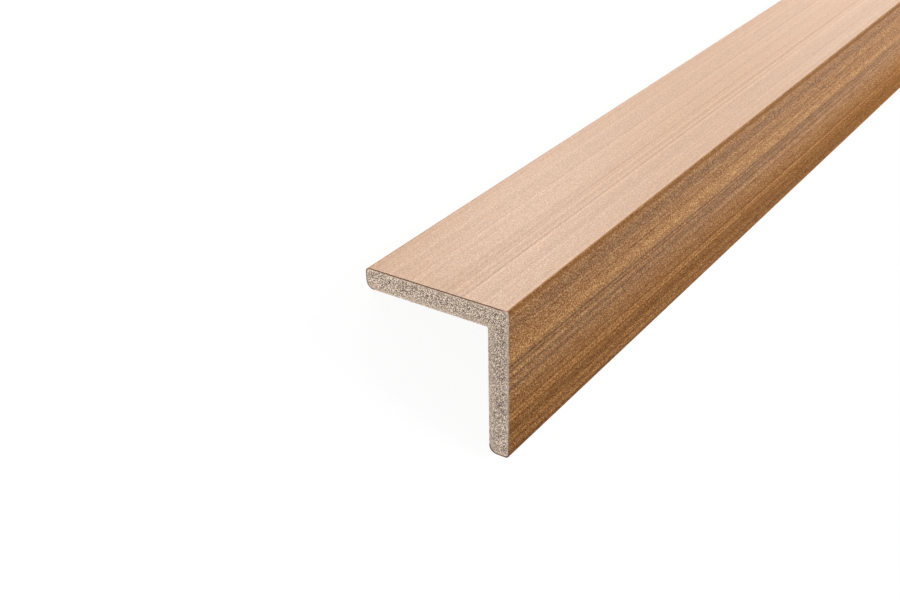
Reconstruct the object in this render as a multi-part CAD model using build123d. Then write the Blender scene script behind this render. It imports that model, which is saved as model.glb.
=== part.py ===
from build123d import *
import os
from math import atan2, degrees

# Composite corner trim: one sawn length of extruded L-section stock that caps an outside wall corner.
# It rests like a tent on its two free edges, outer corner uppermost, with its length along Y.
# The origin is on the floor, under the middle of the length and of the width.

# Driving sizes, in millimetres
LENGTH = 2200.0
LEFT_LEG = 50.0
RIGHT_LEG = 50.0
WALL = 7.0
OUTER_CORNER_RADIUS = 1.0
INNER_CORNER_RADIUS = 0.6
FACE_EDGE_RADIUS = 1.5
BACK_EDGE_RADIUS = 2.5


def angle_section():
    """The L as it leaves the die: sharp outer corner at the origin, legs along -X and -Y.

    Each free edge is rounded tightly on the show face and more softly on the back.
    """
    outer_corner = (0, 0)
    left_face_edge = (-LEFT_LEG, 0)
    left_back_edge = (-LEFT_LEG, -WALL)
    inner_corner = (-WALL, -WALL)
    right_back_edge = (-WALL, -RIGHT_LEG)
    right_face_edge = (0, -RIGHT_LEG)
    roundings = [
        (outer_corner, OUTER_CORNER_RADIUS),
        (left_face_edge, FACE_EDGE_RADIUS),
        (left_back_edge, BACK_EDGE_RADIUS),
        (inner_corner, INNER_CORNER_RADIUS),
        (right_back_edge, BACK_EDGE_RADIUS),
        (right_face_edge, FACE_EDGE_RADIUS),
    ]
    corners = [corner for corner, radius in roundings]
    section = make_face(Polyline(*corners, close=True))
    for corner, radius in roundings:
        vertex = section.vertices().sort_by_distance(corner)[0]
        section = fillet(vertex, radius)
    return section


def resting_turn():
    """Degrees that set the L down on both feet.

    Each foot is the rounding on the back of a free edge. Both have one radius, so both touch
    the floor when the line through their centres is level.
    """
    left_foot = Vector(-LEFT_LEG + BACK_EDGE_RADIUS, -WALL + BACK_EDGE_RADIUS)
    right_foot = Vector(-WALL + BACK_EDGE_RADIUS, -RIGHT_LEG + BACK_EDGE_RADIUS)
    feet = right_foot - left_foot
    return -degrees(atan2(feet.Y, feet.X))


def corner_trim():
    """The section set down on its feet, centred, and carried along the length to two square sawn ends."""
    tent = Rot(0, 0, resting_turn()) * angle_section()
    box = tent.bounding_box()
    tent = Pos(-box.center().X, -box.min.Y) * tent
    return extrude(Plane.XZ * tent, amount=LENGTH / 2, both=True)


os.makedirs("parts", exist_ok=True)
export_step(corner_trim(), "parts/corner_trim.step")
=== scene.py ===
import bpy
import numpy as np
from math import pi, radians
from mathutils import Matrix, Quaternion, Vector


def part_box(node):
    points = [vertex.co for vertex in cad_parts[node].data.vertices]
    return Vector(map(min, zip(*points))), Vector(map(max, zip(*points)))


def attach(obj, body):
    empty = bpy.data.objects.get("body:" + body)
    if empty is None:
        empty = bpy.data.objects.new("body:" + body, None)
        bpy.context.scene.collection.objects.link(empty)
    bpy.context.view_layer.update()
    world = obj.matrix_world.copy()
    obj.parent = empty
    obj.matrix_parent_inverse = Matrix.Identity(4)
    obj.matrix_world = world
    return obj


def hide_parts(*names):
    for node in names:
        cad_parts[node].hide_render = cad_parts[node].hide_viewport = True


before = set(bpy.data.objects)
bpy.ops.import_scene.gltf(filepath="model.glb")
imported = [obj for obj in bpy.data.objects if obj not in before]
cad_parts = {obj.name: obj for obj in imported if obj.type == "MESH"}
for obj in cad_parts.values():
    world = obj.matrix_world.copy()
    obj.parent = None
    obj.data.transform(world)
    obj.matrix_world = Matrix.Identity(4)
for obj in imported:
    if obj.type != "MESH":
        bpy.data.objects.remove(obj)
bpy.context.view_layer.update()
trimLow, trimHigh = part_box("corner_trim")
print("frame loaded:", sorted(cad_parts))

mmPerMetre = 1000


# Corner trim: one closed surface, the L section carried along the length between two sawn ends (metres)
trim = {
    "leg": 0.050,                # both legs, measured on the outside
    "wall": 0.007,
    "cornerRadius": 0.001,       # outer corner
    "innerRadius": 0.0006,       # inner corner
    "faceEdgeRadius": 0.0015,    # free edge, show side
    "backEdgeRadius": 0.0025,    # free edge, wall side
    "restTurn": 45.0,            # degrees from the L to the tent it rests as
    "legSteps": 160,             # columns along each leg
    "cornerSteps": 8,
    "edgeSteps": 6,
    "wallRows": (0, 0.02, 0.05, 0.10, 0.20, 0.35, 0.50, 0.65, 0.80, 0.90, 0.95, 0.98, 1),  # back to face
    "lengthSteps": 111,
    "grainDepth": 0.00004,       # deepest groove of the show faces
    "dieLineDepth": 0.00004,     # deepest extrusion line on the back
    "dieSpread": (0.5, 0.4),     # mean and spread, in shares of the deepest
    "dieLineCells": 1.2,         # columns to one line
    "sawDepth": 0.00004,         # deepest pit of a sawn end
    "sawSpread": (0.5, 0.3),     # mean and spread, in shares of the deepest
    "sharpAngle": 40.0,          # degrees
    "seed": 11,
}

# Grain of the skin. A pair of values is for the left and the right leg.
grain = {
    "swing": (-0.0004, 0.0030),  # metres that the streaks sway to the side
    "swingLength": 1.9,          # metres of length to one full sway
    "cornerHold": 0.005,         # streaks nearer to the corner than this hardly sway
    "steadyLength": 0.35,        # near stretch where the placed streaks don't come and go
    "calmLength": 0.30,          # the streaks sink towards the calm share over this length
    "calmShare": (0.85, 0.34),
    "contrast": (0.36, 1.0),     # how far tones, fibres and pores move the colour of each leg
    "speckContrast": (0.27, 1.05),  # how far specks move it
    # Painted shade: the left leg's tone is lowered and drawn to peach to suit the strong light on it, though
    # both legs are one skin
    "paintedLegShade": (-0.29, 0.0),     # added to the tone of each leg
    "paintedPeachShare": (0.40, 0.0),   # share of the peach colour on each leg
    "roughness": (0.40, 0.50),
    "toneRoughness": (-0.06, -0.025),  # dark streaks are duller
    "broad": {"across": 0.0016, "along": 0.400, "tone": 0.05},
    "medium": {"across": 0.0006, "along": 0.150, "tone": 0.05},
    "fine": {"across": 0.00025, "along": 0.060, "tone": 0.15},
    "hue": {"across": 0.0030, "along": 0.300, "warmth": 0.15},
    "fade": {"along": 0.150, "depth": 0.45},
}

# Streaks that the skin shows at known places, and a painted highlight at the corner, in mm from the outer
# corner, minus on the left leg.
# Tone runs from below 0, darker, to above 0, paler, and warmth from below 0, greyed, to above 0, golden.
streaks = [
    {"across": 4.3, "width": 0.90, "tone": -0.48, "warmth": -0.10},
    {"across": 5.8, "width": 0.60, "tone": -0.10, "warmth": 0.00},
    {"across": 8.2, "width": 0.90, "tone": -0.08, "warmth": 0.00},
    {"across": 11.8, "width": 0.55, "tone": 0.30, "warmth": 0.00},
    {"across": 15.1, "width": 1.70, "tone": 0.60, "warmth": 0.05},
    {"across": 18.1, "width": 0.28, "tone": -1.00, "warmth": 0.00},
    {"across": 19.6, "width": 0.25, "tone": -0.75, "warmth": 0.00},
    {"across": 20.8, "width": 0.50, "tone": 0.45, "warmth": 0.05},
    {"across": 22.3, "width": 0.28, "tone": -0.65, "warmth": 0.00},
    {"across": 24.1, "width": 0.60, "tone": 0.25, "warmth": 0.00},
    {"across": 25.4, "width": 0.50, "tone": -0.28, "warmth": 0.00},
    {"across": 27.3, "width": 0.60, "tone": 0.10, "warmth": 0.00},
    {"across": 30.9, "width": 0.90, "tone": -0.42, "warmth": 0.00},
    {"across": 33.6, "width": 0.27, "tone": -1.15, "warmth": 0.05},
    {"across": 34.6, "width": 0.38, "tone": 0.95, "warmth": 0.25},
    {"across": 35.5, "width": 0.28, "tone": -0.35, "warmth": 0.10},
    {"across": 36.3, "width": 0.38, "tone": 0.75, "warmth": 0.25},
    {"across": 37.2, "width": 0.35, "tone": -0.65, "warmth": 0.10},
    {"across": 40.4, "width": 0.90, "tone": -0.85, "warmth": 0.10},
    {"across": 44.1, "width": 0.35, "tone": -0.25, "warmth": 0.10},
    {"across": 45.6, "width": 0.60, "tone": 0.12, "warmth": 0.10},
    {"across": 48.3, "width": 0.80, "tone": -1.30, "warmth": 0.10},
    {"across": -0.9, "width": 1.00, "tone": -0.08, "warmth": 0.40},
    {"across": -6.4, "width": 0.35, "tone": 0.40, "warmth": 0.00},
    {"across": -7.2, "width": 0.22, "tone": -0.65, "warmth": 0.00},
    {"across": -8.0, "width": 0.40, "tone": 0.30, "warmth": 0.00},
    {"across": -10.5, "width": 1.00, "tone": -0.05, "warmth": 0.00},
    {"across": -14.5, "width": 0.38, "tone": 0.60, "warmth": 0.00},
    {"across": -15.4, "width": 0.22, "tone": -0.65, "warmth": 0.00},
    {"across": -16.3, "width": 0.30, "tone": 0.65, "warmth": 0.00},
    {"across": -17.6, "width": 0.26, "tone": -0.70, "warmth": 0.00},
    {"across": -19.1, "width": 0.30, "tone": 0.60, "warmth": 0.00},
    {"across": -19.9, "width": 0.22, "tone": -0.80, "warmth": 0.00},
    {"across": -21.2, "width": 0.24, "tone": -0.60, "warmth": 0.00},
    {"across": -22.6, "width": 1.20, "tone": -0.12, "warmth": 0.00},
    {"across": -29.8, "width": 2.50, "tone": 0.10, "warmth": 0.00},
    {"across": -32.9, "width": 0.30, "tone": 0.05, "warmth": 0.00},
    {"across": -33.8, "width": 0.25, "tone": -0.85, "warmth": 0.00},
    {"across": -39.2, "width": 0.80, "tone": -0.25, "warmth": 0.00},
    {"across": -41.4, "width": 0.60, "tone": 0.25, "warmth": 0.00},
    {"across": -46.6, "width": 0.80, "tone": -0.20, "warmth": 0.02},
    {"across": -49.0, "width": 0.90, "tone": 0.60, "warmth": -0.50},
    # Painted highlight: a pale stroke on the left half of the corner rounding, carrying the lit left leg's
    # brightness round the corner
    {"across": -0.4, "width": 0.30, "tone": 1.00, "warmth": 0.20},
]

# Bands of another tone and warmth, some of them painted shade: dull is added roughness, smooth is the share
# of specks that is missing, and a band's strength changes with the metres from the near end
bands = [
    # Painted shade: the dark, saturated line where the rounded outer corner turns from the lit left leg to
    # the right leg
    {   # line along the outer corner
        "across": 0.64,
        "width": 0.28,
        "tone": -1.00,
        "warmth": 0.95,
        "dull": 0.25,
        "smooth": 0.85,
        "run": (0.0, 2.2),
        "strength": (1.0, 1.0),
    },
    {   # paler band beside that line, further along
        "across": 8.5,
        "width": 4.0,
        "tone": 0.16,
        "warmth": 0.0,
        "dull": 0.0,
        "smooth": 0.0,
        "run": (0.0, 0.05, 0.20, 0.30, 2.2),
        "strength": (0.0, 0.1, 1.0, 1.1, 0.6),
    },
    # Partly darker, golden grain and partly painted shade, where less light reaches the low part of the
    # right leg
    {   # broad band low on the right leg
        "across": 40.5,
        "width": 8.0,
        "tone": -0.20,
        "warmth": 0.32,
        "dull": 0.19,
        "smooth": 0.0,
        "run": (0.0, 0.12, 0.23, 0.32, 0.70, 1.20),
        "strength": (0.95, 1.20, 1.45, 1.80, 1.60, 1.00),
    },
]

# How strongly the skin's cut edge shows as a dark line round a sawn end, by mm from the outer corner
cutLine = {
    "across": (-50, -48.5, -47, -2.2, -1.2, 6, 25, 40, 48),
    "strength": (0.70, 0.75, 0.95, 0.95, 0.2, 0.2, 0.3, 0.5, 1.0),
}

# Share by which the sawn end's colour is scaled round the L, by mm from the outer corner: lighter over the
# left leg
coreShade = {
    "across": (-50, -40, -20, 0, 12, 26, 40),
    "share": (1.16, 1.14, 1.07, 1.0, 0.90, 0.97, 0.98),
}


# Round stretch: the centre plus the radius times cosine and sine of an angle that runs evenly
def arcRun(centre, radius, fromDeg, toDeg, steps):
    turn = np.radians(np.linspace(fromDeg, toDeg, steps + 1))
    return np.array(centre) + radius * np.stack([np.cos(turn), np.sin(turn)], axis=1)


# Straight stretch: an even mix of its two ends
def straightRun(start, end, steps):
    share = np.linspace(0, 1, steps + 1)[:, None]
    return (1 - share) * np.array(start) + share * np.array(end)


# Runs end to end as one line of points, each shared point kept once
def joinRuns(runs):
    return np.concatenate([runs[0]] + [run[1:] for run in runs[1:]])


# Show side of the L from the left free edge over the outer corner to the right free edge
def faceLine(t):
    leg, edge, corner = t["leg"], t["faceEdgeRadius"], t["cornerRadius"]
    return joinRuns([
        arcRun((-leg + edge, -edge), edge, 180, 90, t["edgeSteps"]),
        straightRun((-leg + edge, 0), (-corner, 0), t["legSteps"]),
        arcRun((-corner, -corner), corner, 90, 0, t["cornerSteps"]),
        straightRun((0, -corner), (0, -leg + edge), t["legSteps"]),
        arcRun((-edge, -leg + edge), edge, 0, -90, t["edgeSteps"]),
    ])


# Wall side of the L, with a point for each point of the show side
def backLine(t):
    leg, wall, edge, inner = t["leg"], t["wall"], t["backEdgeRadius"], t["innerRadius"]
    return joinRuns([
        arcRun((-leg + edge, -wall + edge), edge, 180, 270, t["edgeSteps"]),
        straightRun((-leg + edge, -wall), (-wall - inner, -wall), t["legSteps"]),
        arcRun((-wall - inner, -wall - inner), inner, 90, 0, t["cornerSteps"]),
        straightRun((-wall, -wall - inner), (-wall, -leg + edge), t["legSteps"]),
        arcRun((-wall + edge, -leg + edge), edge, 180, 270, t["edgeSteps"]),
    ])


# Unit normals to the left of a line of points: its slope by central differences, turned by a quarter
def leftNormals(line):
    slope = np.gradient(line, axis=0)
    slope /= np.linalg.norm(slope, axis=1, keepdims=True)
    return np.stack([-slope[:, 1], slope[:, 0]], axis=1)


# Distance along a line of points from its first point: the summed steps
def runLength(line):
    steps = np.linalg.norm(np.diff(line, axis=0), axis=1)
    return np.concatenate([[0], np.cumsum(steps)])


# Distance of each point from a line: the least over the line's stretches, each clamped to its ends
def distanceTo(line, points):
    start, way = line[:-1], np.diff(line, axis=0)
    offset = points[:, None] - start[None]
    share = np.clip((offset * way).sum(2) / (way ** 2).sum(1), 0, 1)
    return np.linalg.norm(offset - share[:, :, None] * way, axis=2).min(1)


# Bell curve: e to the power of minus half the square of offset over width, which is 1 in the middle
def bellCurve(offset, width):
    return np.exp(-0.5 * (offset / width) ** 2)


# Random field with soft streaks: white noise, its spectrum cut by a bell curve each way, at a spread of 1
def softNoise(rng, shape, acrossCells, alongCells):
    spectrum = np.fft.rfft2(rng.standard_normal(shape))
    acrossWave = np.fft.fftfreq(shape[0])[:, None] * acrossCells
    alongWave = np.fft.rfftfreq(shape[1])[None, :] * alongCells
    field = np.fft.irfft2(spectrum * np.exp(-2 * pi ** 2 * (acrossWave ** 2 + alongWave ** 2)), shape)
    return field / field.std()


# Fields that the skin reads: three sizes of soft noise, plus each streak and band as a bell curve across the
# grain, on lines that sway as a sine of the length, with painted shade and highlight in tone and warmth.
# Streaks calm down along the length and, past the steady stretch, come and go. Values that differ by leg
# are spread over their leg.
def grainFields(t, g, across, along):
    rng = np.random.default_rng(t["seed"])
    shape = (len(across), len(along))
    cellAcross = t["leg"] / t["legSteps"]
    cellAlong = (along[-1] - along[0]) / t["lengthSteps"]
    run = along - along[0]
    swing = np.where(across < 0, *g["swing"]) * (1 - np.exp(-(across / g["cornerHold"]) ** 2))
    place = across[:, None] - swing[:, None] * np.sin(2 * pi * run / g["swingLength"])
    tone = np.zeros(shape)
    for size in ("broad", "medium", "fine"):
        layer = g[size]
        noise = softNoise(rng, shape, layer["across"] / cellAcross, layer["along"] / cellAlong)
        tone += layer["tone"] * noise
    hue = g["hue"]
    warmth = hue["warmth"] * softNoise(rng, shape, hue["across"] / cellAcross, hue["along"] / cellAlong)
    unsteady = np.clip(run / g["steadyLength"] - 1, 0, 1)
    calmShare = np.where(across < 0, *g["calmShare"])[:, None]
    calm = calmShare + (1 - calmShare) * np.exp(-(run / g["calmLength"]) ** 2)
    for streak in streaks:
        fade = g["fade"]["depth"] * softNoise(rng, (1, len(along)), 1, g["fade"]["along"] / cellAlong)
        strength = calm * np.clip(1 + unsteady * fade, 0, None)
        bell = bellCurve(mmPerMetre * place - streak["across"], streak["width"]) * strength
        tone += streak["tone"] * bell
        warmth += streak["warmth"] * bell
    dull = np.zeros(shape)
    smooth = np.zeros(shape)
    for band in bands:
        bell = bellCurve(mmPerMetre * place - band["across"], band["width"])
        bell *= np.interp(run, band["run"], band["strength"])
        tone += band["tone"] * bell
        warmth += band["warmth"] * bell
        dull += band["dull"] * bell
        smooth += band["smooth"] * bell
    legKeys = ("contrast", "speckContrast", "paintedPeachShare", "paintedLegShade", "roughness", "toneRoughness")
    onLeg = {key: np.broadcast_to(np.where(across < 0, *g[key])[:, None], shape) for key in legKeys}
    return {
        "grainAndPaintedLightTone": tone * onLeg["contrast"] + onLeg["paintedLegShade"],
        "grainAndPaintedLightWarmth": warmth,
        "grainRoughness": onLeg["roughness"] + onLeg["toneRoughness"] * tone + dull,
        "grainContrast": onLeg["contrast"],
        "speckContrast": onLeg["speckContrast"] * (1 - smooth),
        "paintedPeachShare": onLeg["paintedPeachShare"],
    }


# Section points turned to the resting tent and lifted until the rounded feet touch the floor
def setDown(t, points):
    turn = radians(t["restTurn"])
    footLevel = (t["leg"] + t["wall"] - 2 * t["backEdgeRadius"]) * np.sin(turn)
    lift = footLevel + t["backEdgeRadius"]
    x = np.cos(turn) * points[..., 0] - np.sin(turn) * points[..., 1]
    z = np.sin(turn) * points[..., 0] + np.cos(turn) * points[..., 1] + lift
    return x, z


# Bake map: skin and back in strips of equal length, one above the other, then a band for each sawn end.
# Heights and the margin between them are shares of the map.
bakeMap = {"strips": 3, "margin": 0.004, "skin": 0.236, "back": 0.042, "end": 0.058}


# Places on the bake map of the sides' corners: along the strip to the right, round the section upwards
def sideBakeMap(ring, along, onBack, leftStart):
    m = bakeMap
    around = runLength(np.concatenate([ring, ring[:1]]))
    total = around[-1]
    low, high = around[:-1].copy(), around[1:].copy()
    low[leftStart:] -= total
    high[leftStart:] -= total
    firstBack, lastBack = np.flatnonzero(onBack)[[0, -1]]
    skinStart, skinEnd = low[~onBack].min(), high[~onBack].max()
    start = np.where(onBack, low[firstBack], skinStart)
    span = np.where(onBack, high[lastBack] - low[firstBack], skinEnd - skinStart)
    height = np.where(onBack, m["back"], m["skin"])
    steps = len(along) - 1
    perStrip = steps // m["strips"]
    strip = np.arange(steps) // perStrip
    base = np.where(onBack[None], m["strips"] * (m["skin"] + m["margin"]), 0)
    base = base + m["margin"] + strip[:, None] * (height + m["margin"])[None]
    right = m["margin"] + (1 - 2 * m["margin"]) * (np.arange(steps) - strip * perStrip) / perStrip
    step = (1 - 2 * m["margin"]) / perStrip
    u = np.stack([right, right + step, right + step, right], axis=1)[:, None]
    lowV = base + (height * (low - start) / span)[None]
    highV = base + (height * (high - start) / span)[None]
    v = np.stack([lowV, lowV, highV, highV], axis=2)
    return np.stack([np.broadcast_to(u, v.shape), v], axis=3).reshape(-1, 2)


# Places on the bake map of a sawn end's corners: along the L to the right, through the wall upwards
def endBakeMap(across, wallRows, order, number):
    m = bakeMap
    base = m["strips"] * (m["skin"] + m["back"] + 2 * m["margin"]) + m["margin"]
    base += number * (m["end"] + m["margin"])
    u = m["margin"] + (1 - 2 * m["margin"]) * (across - across[0]) / (across[-1] - across[0])
    v = base + m["end"] * np.array(wallRows)
    grid = np.stack(np.meshgrid(u, v), axis=2)
    corners = {"low": grid[:-1, :-1], "right": grid[:-1, 1:], "high": grid[1:, 1:], "left": grid[1:, :-1]}
    return np.stack([corners[name] for name in order], axis=2).reshape(-1, 2)


# Straight mix of paired points through the wall: share 0 on the back, 1 on the face
def throughWall(share, back, face):
    return (1 - share) * back + share * face


# Noise as shares of the deepest groove or pit: mean plus spread times noise, cut off at 0 and 1
def grooveShare(noise, mean, spread):
    return np.clip(mean + spread * noise, 0, 1)


# Field by point, for a material to read
def setField(mesh, name, values):
    mesh.attributes.new(name, "FLOAT", "POINT").data.foreach_set("value", values.astype(np.float32))


# Closed trim surface: rings of section points along the length. The show side is sunk along its normals
# by the grain, and the back by die lines. Each sawn end is a grid of straight mixes of paired points,
# sunk by saw pits.
def makeCornerTrim(t):
    face, back = faceLine(t), backLine(t)
    columns, rows = len(face), len(t["wallRows"])
    across = runLength(face)
    across -= across[columns // 2]
    along = np.linspace(trimLow.y, trimHigh.y, t["lengthSteps"] + 1)
    stations = len(along)
    fields = grainFields(t, grain, across, along)
    rng = np.random.default_rng(t["seed"] + 1)

    groove = np.clip((1 - fields["grainAndPaintedLightTone"]) / 2, 0, 1) * t["grainDepth"]
    faceRings = face[None] - leftNormals(face)[None] * groove.T[:, :, None]
    lines = softNoise(rng, (columns, 1), t["dieLineCells"], 1)
    dieLines = grooveShare(lines, *t["dieSpread"]) * t["dieLineDepth"]
    backRings = np.repeat((back + leftNormals(back) * dieLines)[None], stations, axis=0)

    # Free ends: the flat between the two edge roundings, from the back to the face
    share = np.array(t["wallRows"])[1:-1, None]
    leftFlat = throughWall(share, backRings[:, :1], faceRings[:, :1])
    rightFlat = throughWall(share, backRings[:, -1:], faceRings[:, -1:])

    # One ring: face left to right, right end downwards, back right to left, left end upwards
    ring = np.concatenate([faceRings, rightFlat[:, ::-1], backRings[:, ::-1], leftFlat], axis=1)
    ringCount = ring.shape[1]
    ringX, ringZ = setDown(t, ring)
    tube = np.stack([ringX, np.repeat(along[:, None], ringCount, axis=1), ringZ], axis=2)

    # Ring numbers of the grid's border on a sawn end: rows through the wall, columns along the L
    backStart, leftFlatStart = columns + rows - 2, 2 * columns + rows - 2
    border = np.full((rows, columns), -1)
    border[-1] = np.arange(columns)
    border[1:-1, -1] = columns + np.arange(rows - 2)[::-1]
    border[0] = backStart + np.arange(columns)[::-1]
    border[1:-1, 0] = leftFlatStart + np.arange(rows - 2)

    points = [tube.reshape(-1, 3)]
    ends = []
    for station, inwards in ((0, 1), (stations - 1, -1)):
        mixed = throughWall(share[:, None], backRings[station, 1:-1], faceRings[station, 1:-1])
        mixedX, mixedZ = setDown(t, mixed)
        pits = grooveShare(rng.standard_normal(mixedX.shape), *t["sawSpread"]) * t["sawDepth"]
        start = sum(len(p) for p in points)
        points.append(np.stack([mixedX, along[station] + inwards * pits, mixedZ], axis=2).reshape(-1, 3))
        grid = border + station * ringCount
        grid[1:-1, 1:-1] = start + np.arange(mixedX.size).reshape(mixedX.shape)
        ends.append(grid)
    points = np.concatenate(points)

    index = np.arange(stations * ringCount).reshape(stations, ringCount)
    after = np.roll(index, -1, axis=1)
    sides = np.stack([index[:-1], index[1:], after[1:], after[:-1]], axis=2).reshape(-1, 4)
    nearEnd, farEnd = ends
    near = np.stack([nearEnd[:-1, :-1], nearEnd[:-1, 1:], nearEnd[1:, 1:], nearEnd[1:, :-1]], axis=2)
    far = np.stack([farEnd[:-1, :-1], farEnd[1:, :-1], farEnd[1:, 1:], farEnd[:-1, 1:]], axis=2)
    quads = np.concatenate([sides, near.reshape(-1, 4), far.reshape(-1, 4)])

    # Finish of each face: 0 skin, also round the free edges, 1 bare back, 2 sawn core
    onBack = np.zeros(ringCount, bool)
    onBack[backStart + t["edgeSteps"]:leftFlatStart - 1 - t["edgeSteps"]] = True
    finish = np.concatenate([np.tile(onBack, stations - 1), np.full(len(quads) - len(sides), 2)])

    mesh = bpy.data.meshes.new("cornerTrim")
    mesh.from_pydata(points.tolist(), [], quads.tolist())
    mesh.polygons.foreach_set("material_index", finish.astype(np.int32))
    mesh.polygons.foreach_set("use_smooth", np.ones(len(quads), bool))
    mesh.set_sharp_from_angle(angle=radians(t["sharpAngle"]))

    # The skin reads its fields by point: their values on the face, their border values round the free edges
    columnOf = np.concatenate([np.arange(columns), np.full(rows - 2, columns - 1),
                               np.arange(columns)[::-1], np.zeros(rows - 2, int)])
    inEnds = len(points) - stations * ringCount
    for name, field in fields.items():
        setField(mesh, name, np.concatenate([field[columnOf].T.ravel(), np.zeros(inEnds)]))

    # A sawn end reads its mm below the skin and above the back, its shade and how dark its cut edge is
    skinLine = np.concatenate([back[t["edgeSteps"]::-1], face, back[:-t["edgeSteps"] - 2:-1]])
    bareLine = back[t["edgeSteps"]:-t["edgeSteps"]]
    mixed = throughWall(share[:, None], back[1:-1], face[1:-1]).reshape(-1, 2)
    rightEnd, leftEnd = throughWall(share, back[-1], face[-1]), throughWall(share, back[0], face[0])
    plainRing = np.concatenate([face, rightEnd[::-1], back[::-1], leftEnd])
    acrossMm = mmPerMetre * across
    darkness = np.interp(acrossMm, cutLine["across"], cutLine["strength"])
    shade = np.interp(acrossMm, coreShade["across"], coreShade["share"])
    inside = {
        "skinDepth": [mmPerMetre * distanceTo(skinLine, spots) for spots in (plainRing, mixed)],
        "backDepth": [mmPerMetre * distanceTo(bareLine, spots) for spots in (plainRing, mixed)],
        "cutDarkness": (darkness[columnOf], np.tile(darkness[1:-1], rows - 2)),
        "coreShade": (shade[columnOf], np.tile(shade[1:-1], rows - 2)),
    }
    for name, (onRing, onGrid) in inside.items():
        setField(mesh, name, np.concatenate([np.tile(onRing, stations), onGrid, onGrid]))

    places = np.concatenate([
        sideBakeMap(plainRing, along, onBack, leftFlatStart - 1 - t["edgeSteps"]),
        endBakeMap(across, t["wallRows"], ("low", "right", "high", "left"), 0),
        endBakeMap(across, t["wallRows"], ("low", "left", "high", "right"), 1),
    ])
    mesh.uv_layers.new(name="OFBake").uv.foreach_set("vector", places.astype(np.float32).ravel())
    mesh.update()
    trimObject = bpy.data.objects.new("corner_trim_visual", mesh)
    bpy.context.scene.collection.objects.link(trimObject)
    return trimObject


halfWay = 0.5           # middle of a noise, of random cells, of a ramp and of a mix
noiseRoughness = 0.6    # how strongly the finer layers of a noise show


# Node of a kind with its settings, and values for its sockets by name
def addNode(tree, kind, settings=None, **values):
    node = tree.nodes.new(kind)
    for key, value in (settings or {}).items():
        setattr(node, key, value)
    for key, value in values.items():
        node.inputs[key].default_value = value
    return node


# Material with nothing in it but a principled shader
def newMaterial(name):
    material = bpy.data.materials.new(name)
    material.use_nodes = True
    tree = material.node_tree
    tree.nodes.clear()
    output = addNode(tree, "ShaderNodeOutputMaterial")
    shader = addNode(tree, "ShaderNodeBsdfPrincipled")
    tree.links.new(shader.outputs[0], output.inputs["Surface"])
    return material, tree, shader


# Each socket takes a link from an output, or a plain value
def feed(tree, sockets, values):
    for socket, value in zip(sockets, values):
        if isinstance(value, bpy.types.NodeSocket):
            tree.links.new(value, socket)
        else:
            socket.default_value = value


# Field that the mesh holds by point
def pointValue(tree, name):
    return addNode(tree, "ShaderNodeAttribute", {"attribute_name": name}).outputs["Fac"]


# Noise stretched along the length: cells in metres across and along the grain
def grainNoise(tree, acrossCell, alongCell, detail):
    place = addNode(tree, "ShaderNodeTexCoord")
    stretch = addNode(tree, "ShaderNodeMapping", Scale=(1 / acrossCell, 1 / alongCell, 1 / acrossCell))
    noise = addNode(tree, "ShaderNodeTexNoise", Scale=1.0, Detail=detail, Roughness=noiseRoughness)
    tree.links.new(place.outputs["Object"], stretch.inputs["Vector"])
    tree.links.new(stretch.outputs[0], noise.inputs["Vector"])
    return noise.outputs["Fac"]


# Specks that stand evenly apart: distance to the nearest of many scattered points, cells in metres
def grainSpecks(tree, acrossCell, alongCell):
    place = addNode(tree, "ShaderNodeTexCoord")
    stretch = addNode(tree, "ShaderNodeMapping", Scale=(1 / acrossCell, 1 / alongCell, 1 / acrossCell))
    cells = addNode(tree, "ShaderNodeTexVoronoi", Scale=1.0)
    tree.links.new(place.outputs["Object"], stretch.inputs["Vector"])
    tree.links.new(stretch.outputs[0], cells.inputs["Vector"])
    return cells.outputs["Distance"]


# Grains of random grey: cells of a size in metres
def grainCells(tree, size):
    place = addNode(tree, "ShaderNodeTexCoord")
    cells = addNode(tree, "ShaderNodeTexVoronoi", Scale=1 / size)
    tree.links.new(place.outputs["Object"], cells.inputs["Vector"])
    grey = addNode(tree, "ShaderNodeSeparateColor")
    tree.links.new(cells.outputs["Color"], grey.inputs[0])
    return grey.outputs[0]


# Colours at places along a ramp, mixed evenly between them
def ramp(tree, source, stops, colours):
    node = addNode(tree, "ShaderNodeValToRGB")
    bar = node.color_ramp
    while len(bar.elements) < len(stops):
        bar.elements.new(halfWay)
    for element, position, colour in zip(bar.elements, stops, colours):
        element.position = position
        element.color = (*colour, 1)
    tree.links.new(source, node.inputs["Fac"])
    return node.outputs["Color"]


# A value that runs in a straight line between two ends and stays level past them
def fadeOver(tree, source, start, end, startValue, endValue):
    node = addNode(tree, "ShaderNodeMapRange")
    feed(tree, node.inputs, (source, start, end, startValue, endValue))
    return node.outputs[0]


# One step of arithmetic on outputs and plain values
def calc(tree, operation, *values):
    node = addNode(tree, "ShaderNodeMath", {"operation": operation})
    feed(tree, node.inputs, values)
    return node.outputs[0]


# Blend of two colours. The mix node takes its colours in sockets 6 and 7 and gives theirs out at 2.
def mixColour(tree, blend, factor, first, second):
    node = addNode(tree, "ShaderNodeMix", {"data_type": "RGBA", "blend_type": blend})
    feed(tree, (node.inputs[0], node.inputs[6], node.inputs[7]), (factor, first, second))
    return node.outputs[2]


# Bump: the height tilts the shading
def relief(tree, shader, height, strength, depth):
    bump = addNode(tree, "ShaderNodeBump", Strength=strength, Distance=depth)
    tree.links.new(height, bump.inputs["Height"])
    tree.links.new(bump.outputs[0], shader.inputs["Normal"])
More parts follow.
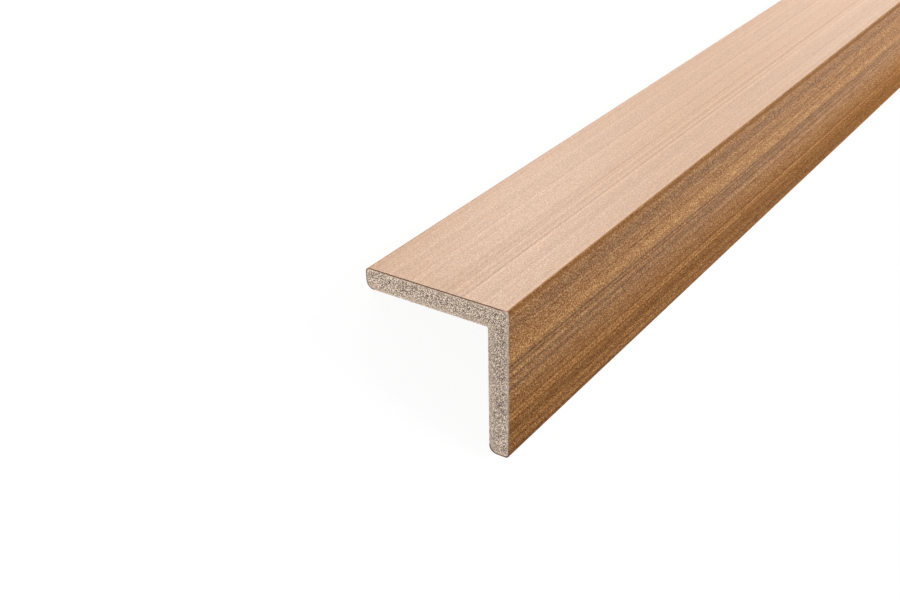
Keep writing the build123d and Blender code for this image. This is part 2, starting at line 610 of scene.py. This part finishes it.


# Skin: brown ramp over tone, long fibres and dark pores, warmed or greyed by the warmth field and drawn by
# leg to a painted peach that suits the left leg's strong light, with specks that run from dark pits to pale,
# shinier crests
skin = {
    "dark": (0.165, 0.061, 0.006),
    "mid": (0.452, 0.193, 0.043),
    "light": (0.710, 0.345, 0.102),
    "golden": (0.465, 0.184, 0.036),
    "greyed": (0.420, 0.205, 0.090),
    # painted peach: the left leg's colour, set to suit its strong light
    "peach": (0.420, 0.225, 0.085),
    "stops": (0.10, 0.50, 0.90),   # ramp places of dark, mid and light
    "toneReach": 0.50,             # ramp share that a tone of 1 moves
    "warmthReach": 0.8,
    "fibre": (0.00045, 0.030, 3.0),  # metres across and along, and layers of finer noise
    "fibreReach": 0.22,
    "pore": (0.00030, 0.010, 0.0),
    "poreSpan": (0.56, 0.72),      # noise where a pore starts and is full
    "poreReach": 0.22,
    "speck": (0.00038, 0.00055),
    "speckSpan": (0.25, 0.80),     # cells from a pit's middle where its rise to the crest starts and ends
    "pit": (0.50, 0.20, 0.00),     # shares of the colour
    "crest": (1.50, 1.80, 2.00),
    "specular": 0.20,
    "crestShine": 1.9,             # shares of the specular from a pit to a crest
    "bump": 0.5,
    "bumpDepth": 0.00003,
}


def makeSkin():
    material, tree, shader = newMaterial("woodLookSkin")
    contrast = pointValue(tree, "grainContrast")
    fibre = calc(tree, "SUBTRACT", grainNoise(tree, *skin["fibre"]), halfWay)
    speck = fadeOver(tree, grainSpecks(tree, *skin["speck"]), *skin["speckSpan"], -halfWay, halfWay)
    pore = fadeOver(tree, grainNoise(tree, *skin["pore"]), *skin["poreSpan"], 0.0, -skin["poreReach"])
    level = calc(tree, "MULTIPLY_ADD", pointValue(tree, "grainAndPaintedLightTone"), skin["toneReach"], halfWay)
    fibreRise = calc(tree, "MULTIPLY", fibre, contrast)
    level = calc(tree, "MULTIPLY_ADD", fibreRise, skin["fibreReach"], level)
    level = calc(tree, "MULTIPLY_ADD", pore, contrast, level)
    brown = ramp(tree, level, skin["stops"], (skin["dark"], skin["mid"], skin["light"]))
    warmth = calc(tree, "MULTIPLY", pointValue(tree, "grainAndPaintedLightWarmth"), skin["warmthReach"])
    brown = mixColour(tree, "MIX", calc(tree, "MAXIMUM", warmth, 0.0), brown, (*skin["golden"], 1))
    grey = calc(tree, "MAXIMUM", calc(tree, "MULTIPLY", warmth, -1.0), 0.0)
    brown = mixColour(tree, "MIX", grey, brown, (*skin["greyed"], 1))
    brown = mixColour(tree, "MIX", pointValue(tree, "paintedPeachShare"), brown, (*skin["peach"], 1))
    pit = mixColour(tree, "MULTIPLY", 1.0, brown, (*skin["pit"], 1))
    crest = mixColour(tree, "MULTIPLY", 1.0, brown, (*skin["crest"], 1))
    rise = calc(tree, "MULTIPLY", speck, pointValue(tree, "speckContrast"))
    brown = mixColour(tree, "MIX", calc(tree, "ADD", rise, halfWay), pit, crest)
    tree.links.new(brown, shader.inputs["Base Color"])
    tree.links.new(pointValue(tree, "grainRoughness"), shader.inputs["Roughness"])
    shine = calc(tree, "MULTIPLY_ADD", rise, skin["crestShine"] * skin["specular"], skin["specular"])
    tree.links.new(shine, shader.inputs["Specular IOR Level"])
    relief(tree, shader, calc(tree, "ADD", fibre, speck), skin["bump"], skin["bumpDepth"])
    return material


# Core: grains of beige, grey and brown, each a random cell, paler towards the skin and the back, where
# the die packed it, with the skin's cut edge as a thin dark line
core = {
    "grain": 0.00020,
    "speck": 0.00033,
    "speckShare": 0.65,
    "stops": (0.40, 0.52, 0.64),       # ramp places of dark, mid and light
    "dark": (0.060, 0.043, 0.032),
    "mid": (0.545, 0.400, 0.300),
    "light": (1.00, 0.850, 0.700),
    "pale": (0.75, 0.58, 0.45),
    "skinMargin": (0.3, 1.6, 0.50),    # mm from the skin where the pale fades from and to, and its share
    "backMargin": (0.6, 2.4, 0.40),
    "cut": (0.130, 0.036, 0.006),
    "cutWidth": (0.34, 0.46),          # mm
    "roughness": 0.75,
    "specular": 0.25,
    "bump": 0.3,
    "bumpDepth": 0.00006,
}


def makeSawnCore():
    material, tree, shader = newMaterial("sawnCore")
    cells = grainCells(tree, core["grain"])
    specks = grainSpecks(tree, core["speck"], core["speck"])
    speckle = calc(tree, "MULTIPLY_ADD", calc(tree, "SUBTRACT", specks, cells), core["speckShare"], cells)
    colour = ramp(tree, speckle, core["stops"], (core["dark"], core["mid"], core["light"]))
    skinDepth = pointValue(tree, "skinDepth")
    for depth, margin in ((skinDepth, "skinMargin"), (pointValue(tree, "backDepth"), "backMargin")):
        start, end, share = core[margin]
        pale = fadeOver(tree, depth, start, end, share, 0.0)
        colour = mixColour(tree, "MIX", pale, colour, (*core["pale"], 1))
    colour = mixColour(tree, "MULTIPLY", 1.0, colour, pointValue(tree, "coreShade"))
    edge = fadeOver(tree, skinDepth, *core["cutWidth"], 1.0, 0.0)
    cut = calc(tree, "MULTIPLY", edge, pointValue(tree, "cutDarkness"))
    colour = mixColour(tree, "MIX", cut, colour, (*core["cut"], 1))
    tree.links.new(colour, shader.inputs["Base Color"])
    shader.inputs["Roughness"].default_value = core["roughness"]
    shader.inputs["Specular IOR Level"].default_value = core["specular"]
    relief(tree, shader, speckle, core["bump"], core["bumpDepth"])
    return material


# Bare back: the core's own colour, smeared by the die into long faint lines, with pale and dark flecks
bareBack = {
    "dark": (0.33, 0.250, 0.185),
    "light": (0.47, 0.370, 0.285),
    "stops": (0.3, 0.7),
    "line": (0.0012, 0.30, 4.0),    # metres across and along, and layers of finer noise
    "fleck": 0.0011,
    "fleckShare": 0.30,
    "roughness": 0.60,
    "specular": 0.30,
}


def makeBareBack():
    material, tree, shader = newMaterial("bareBack")
    lines = grainNoise(tree, *bareBack["line"])
    flecks = grainCells(tree, bareBack["fleck"])
    fleckRise = calc(tree, "SUBTRACT", flecks, halfWay)
    level = calc(tree, "MULTIPLY_ADD", fleckRise, bareBack["fleckShare"], lines)
    colour = ramp(tree, level, bareBack["stops"], (bareBack["dark"], bareBack["light"]))
    tree.links.new(colour, shader.inputs["Base Color"])
    shader.inputs["Roughness"].default_value = bareBack["roughness"]
    shader.inputs["Specular IOR Level"].default_value = bareBack["specular"]
    return material


cornerTrim = makeCornerTrim(trim)
for material in (makeSkin(), makeBareBack(), makeSawnCore()):
    cornerTrim.data.materials.append(material)
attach(cornerTrim, "root")
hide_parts("corner_trim")
print("corner trim made:", len(cornerTrim.data.polygons), "faces")


# Floor and surroundings: white where seen, plain light where they light the trim
stage = {
    "reach": 40.0,              # metres from the middle of the floor to its sides
    "floorColour": (0.95, 0.95, 0.95, 1),
    "glow": 0.93,               # white that the floor shows where no light falls
    "shadowShare": 0.15,        # grey that the light adds to it, which a shadow takes away
    "skyLight": 0.20,
}


# Share of white for rays that come from the camera, a reflection or glass: the largest of the three flags
def seenRay(tree):
    path = addNode(tree, "ShaderNodeLightPath")
    seen = calc(tree, "MAXIMUM", path.outputs["Is Camera Ray"], path.outputs["Is Glossy Ray"])
    return calc(tree, "MAXIMUM", seen, path.outputs["Is Transmission Ray"])


# Floor: a square that lights as plain matt, and is seen as a glow plus a faint matt share
def makeFloor():
    mesh = bpy.data.meshes.new("floor")
    corners = np.array([(-1, -1, 0), (1, -1, 0), (1, 1, 0), (-1, 1, 0)]) * stage["reach"]
    mesh.from_pydata(corners.tolist(), [], [(0, 1, 2, 3)])
    floor = bpy.data.objects.new("floor", mesh)
    bpy.context.scene.collection.objects.link(floor)
    material = bpy.data.materials.new("paleFloor")
    material.use_nodes = True
    tree = material.node_tree
    tree.nodes.clear()
    output = addNode(tree, "ShaderNodeOutputMaterial")
    matt = addNode(tree, "ShaderNodeBsdfDiffuse", Color=stage["floorColour"])
    faint = addNode(tree, "ShaderNodeBsdfDiffuse", Color=(*(stage["shadowShare"],) * 3, 1))
    white = addNode(tree, "ShaderNodeEmission", Color=(1, 1, 1, 1), Strength=stage["glow"])
    seen = addNode(tree, "ShaderNodeAddShader")
    feed(tree, seen.inputs, (faint.outputs[0], white.outputs[0]))
    mix = addNode(tree, "ShaderNodeMixShader")
    feed(tree, mix.inputs, (seenRay(tree), matt.outputs[0], seen.outputs[0]))
    tree.links.new(mix.outputs[0], output.inputs["Surface"])
    mesh.materials.append(material)


# Sky: soft light, and white where it is seen
def makeSky():
    world = bpy.data.worlds.new("studio")
    bpy.context.scene.world = world
    world.use_nodes = True
    tree = world.node_tree
    tree.nodes.clear()
    output = addNode(tree, "ShaderNodeOutputWorld")
    soft = addNode(tree, "ShaderNodeBackground", Color=(1, 1, 1, 1), Strength=stage["skyLight"])
    white = addNode(tree, "ShaderNodeBackground", Color=(1, 1, 1, 1), Strength=1.0)
    mix = addNode(tree, "ShaderNodeMixShader")
    feed(tree, mix.inputs, (seenRay(tree), soft.outputs[0], white.outputs[0]))
    tree.links.new(mix.outputs[0], output.inputs["Surface"])


makeFloor()
makeSky()
print("stage made")


# Lamps: soft panels, each with the glow of its surface, where a glow of 1 is white
lamps = {
    "leftPanel": {"spot": (-1.60, 0.10, 0.21), "aim": (0, -1.0, 0.03), "size": (1.0, 0.40), "glow": 25.0},
    "leftBackPanel": {"spot": (-1.05, 0.62, 0.21), "aim": (0, -1.0, 0.03), "size": (1.0, 0.40), "glow": 6.5},
    "rightPanel": {"spot": (0.70, -0.25, 0.70), "aim": (0, -0.6, 0.03), "size": (0.6, 0.6), "glow": 7.0},
    "lowFront": {"spot": (-0.90, -2.80, 0.30), "aim": (0, -1.1, 0.03), "size": (1.4, 0.50), "glow": 10.0},
    "backPanel": {"spot": (0.50, 3.20, 1.20), "aim": (0, 1.1, 0.03), "size": (1.6, 1.2), "glow": 2.5},
}


# Power of a panel: its glow times pi times its area
def makeLamps():
    for name, lamp in lamps.items():
        light = bpy.data.lights.new(name, "AREA")
        light.shape = "RECTANGLE"
        light.size, light.size_y = lamp["size"]
        light.energy = lamp["glow"] * pi * light.size * light.size_y
        panel = bpy.data.objects.new(name, light)
        panel.location = lamp["spot"]
        look = Vector(lamp["aim"]) - Vector(lamp["spot"])
        panel.rotation_euler = look.to_track_quat("-Z", "Y").to_euler()
        panel.visible_camera = False
        bpy.context.scene.collection.objects.link(panel)


makeLamps()
print("lamps made:", len(lamps))


# Camera: looks down on the near sawn end and along the length, rolled so that the left leg lies level
camera = {
    "spot": (-0.0090, -1.3506, 0.2737),
    "aim": (-0.01244, trimLow.y, 0.02378),
    "roll": 52.67,              # degrees
    "lens": 50.0,               # mm
    "sensorWidth": 36.0,        # mm
    "nearest": 0.01,            # metres
}


def makeCamera():
    data = bpy.data.cameras.new("camera")
    data.lens = camera["lens"]
    data.sensor_width = camera["sensorWidth"]
    data.clip_start = camera["nearest"]
    eye = bpy.data.objects.new("camera", data)
    eye.location = camera["spot"]
    look = (Vector(camera["aim"]) - Vector(camera["spot"])).to_track_quat("-Z", "Y")
    eye.rotation_mode = "QUATERNION"
    eye.rotation_quaternion = look @ Quaternion((0, 0, 1), radians(camera["roll"]))
    bpy.context.scene.collection.objects.link(eye)
    bpy.context.scene.camera = eye


makeCamera()
bpy.context.scene.view_settings.view_transform = "Standard"
print("camera made")
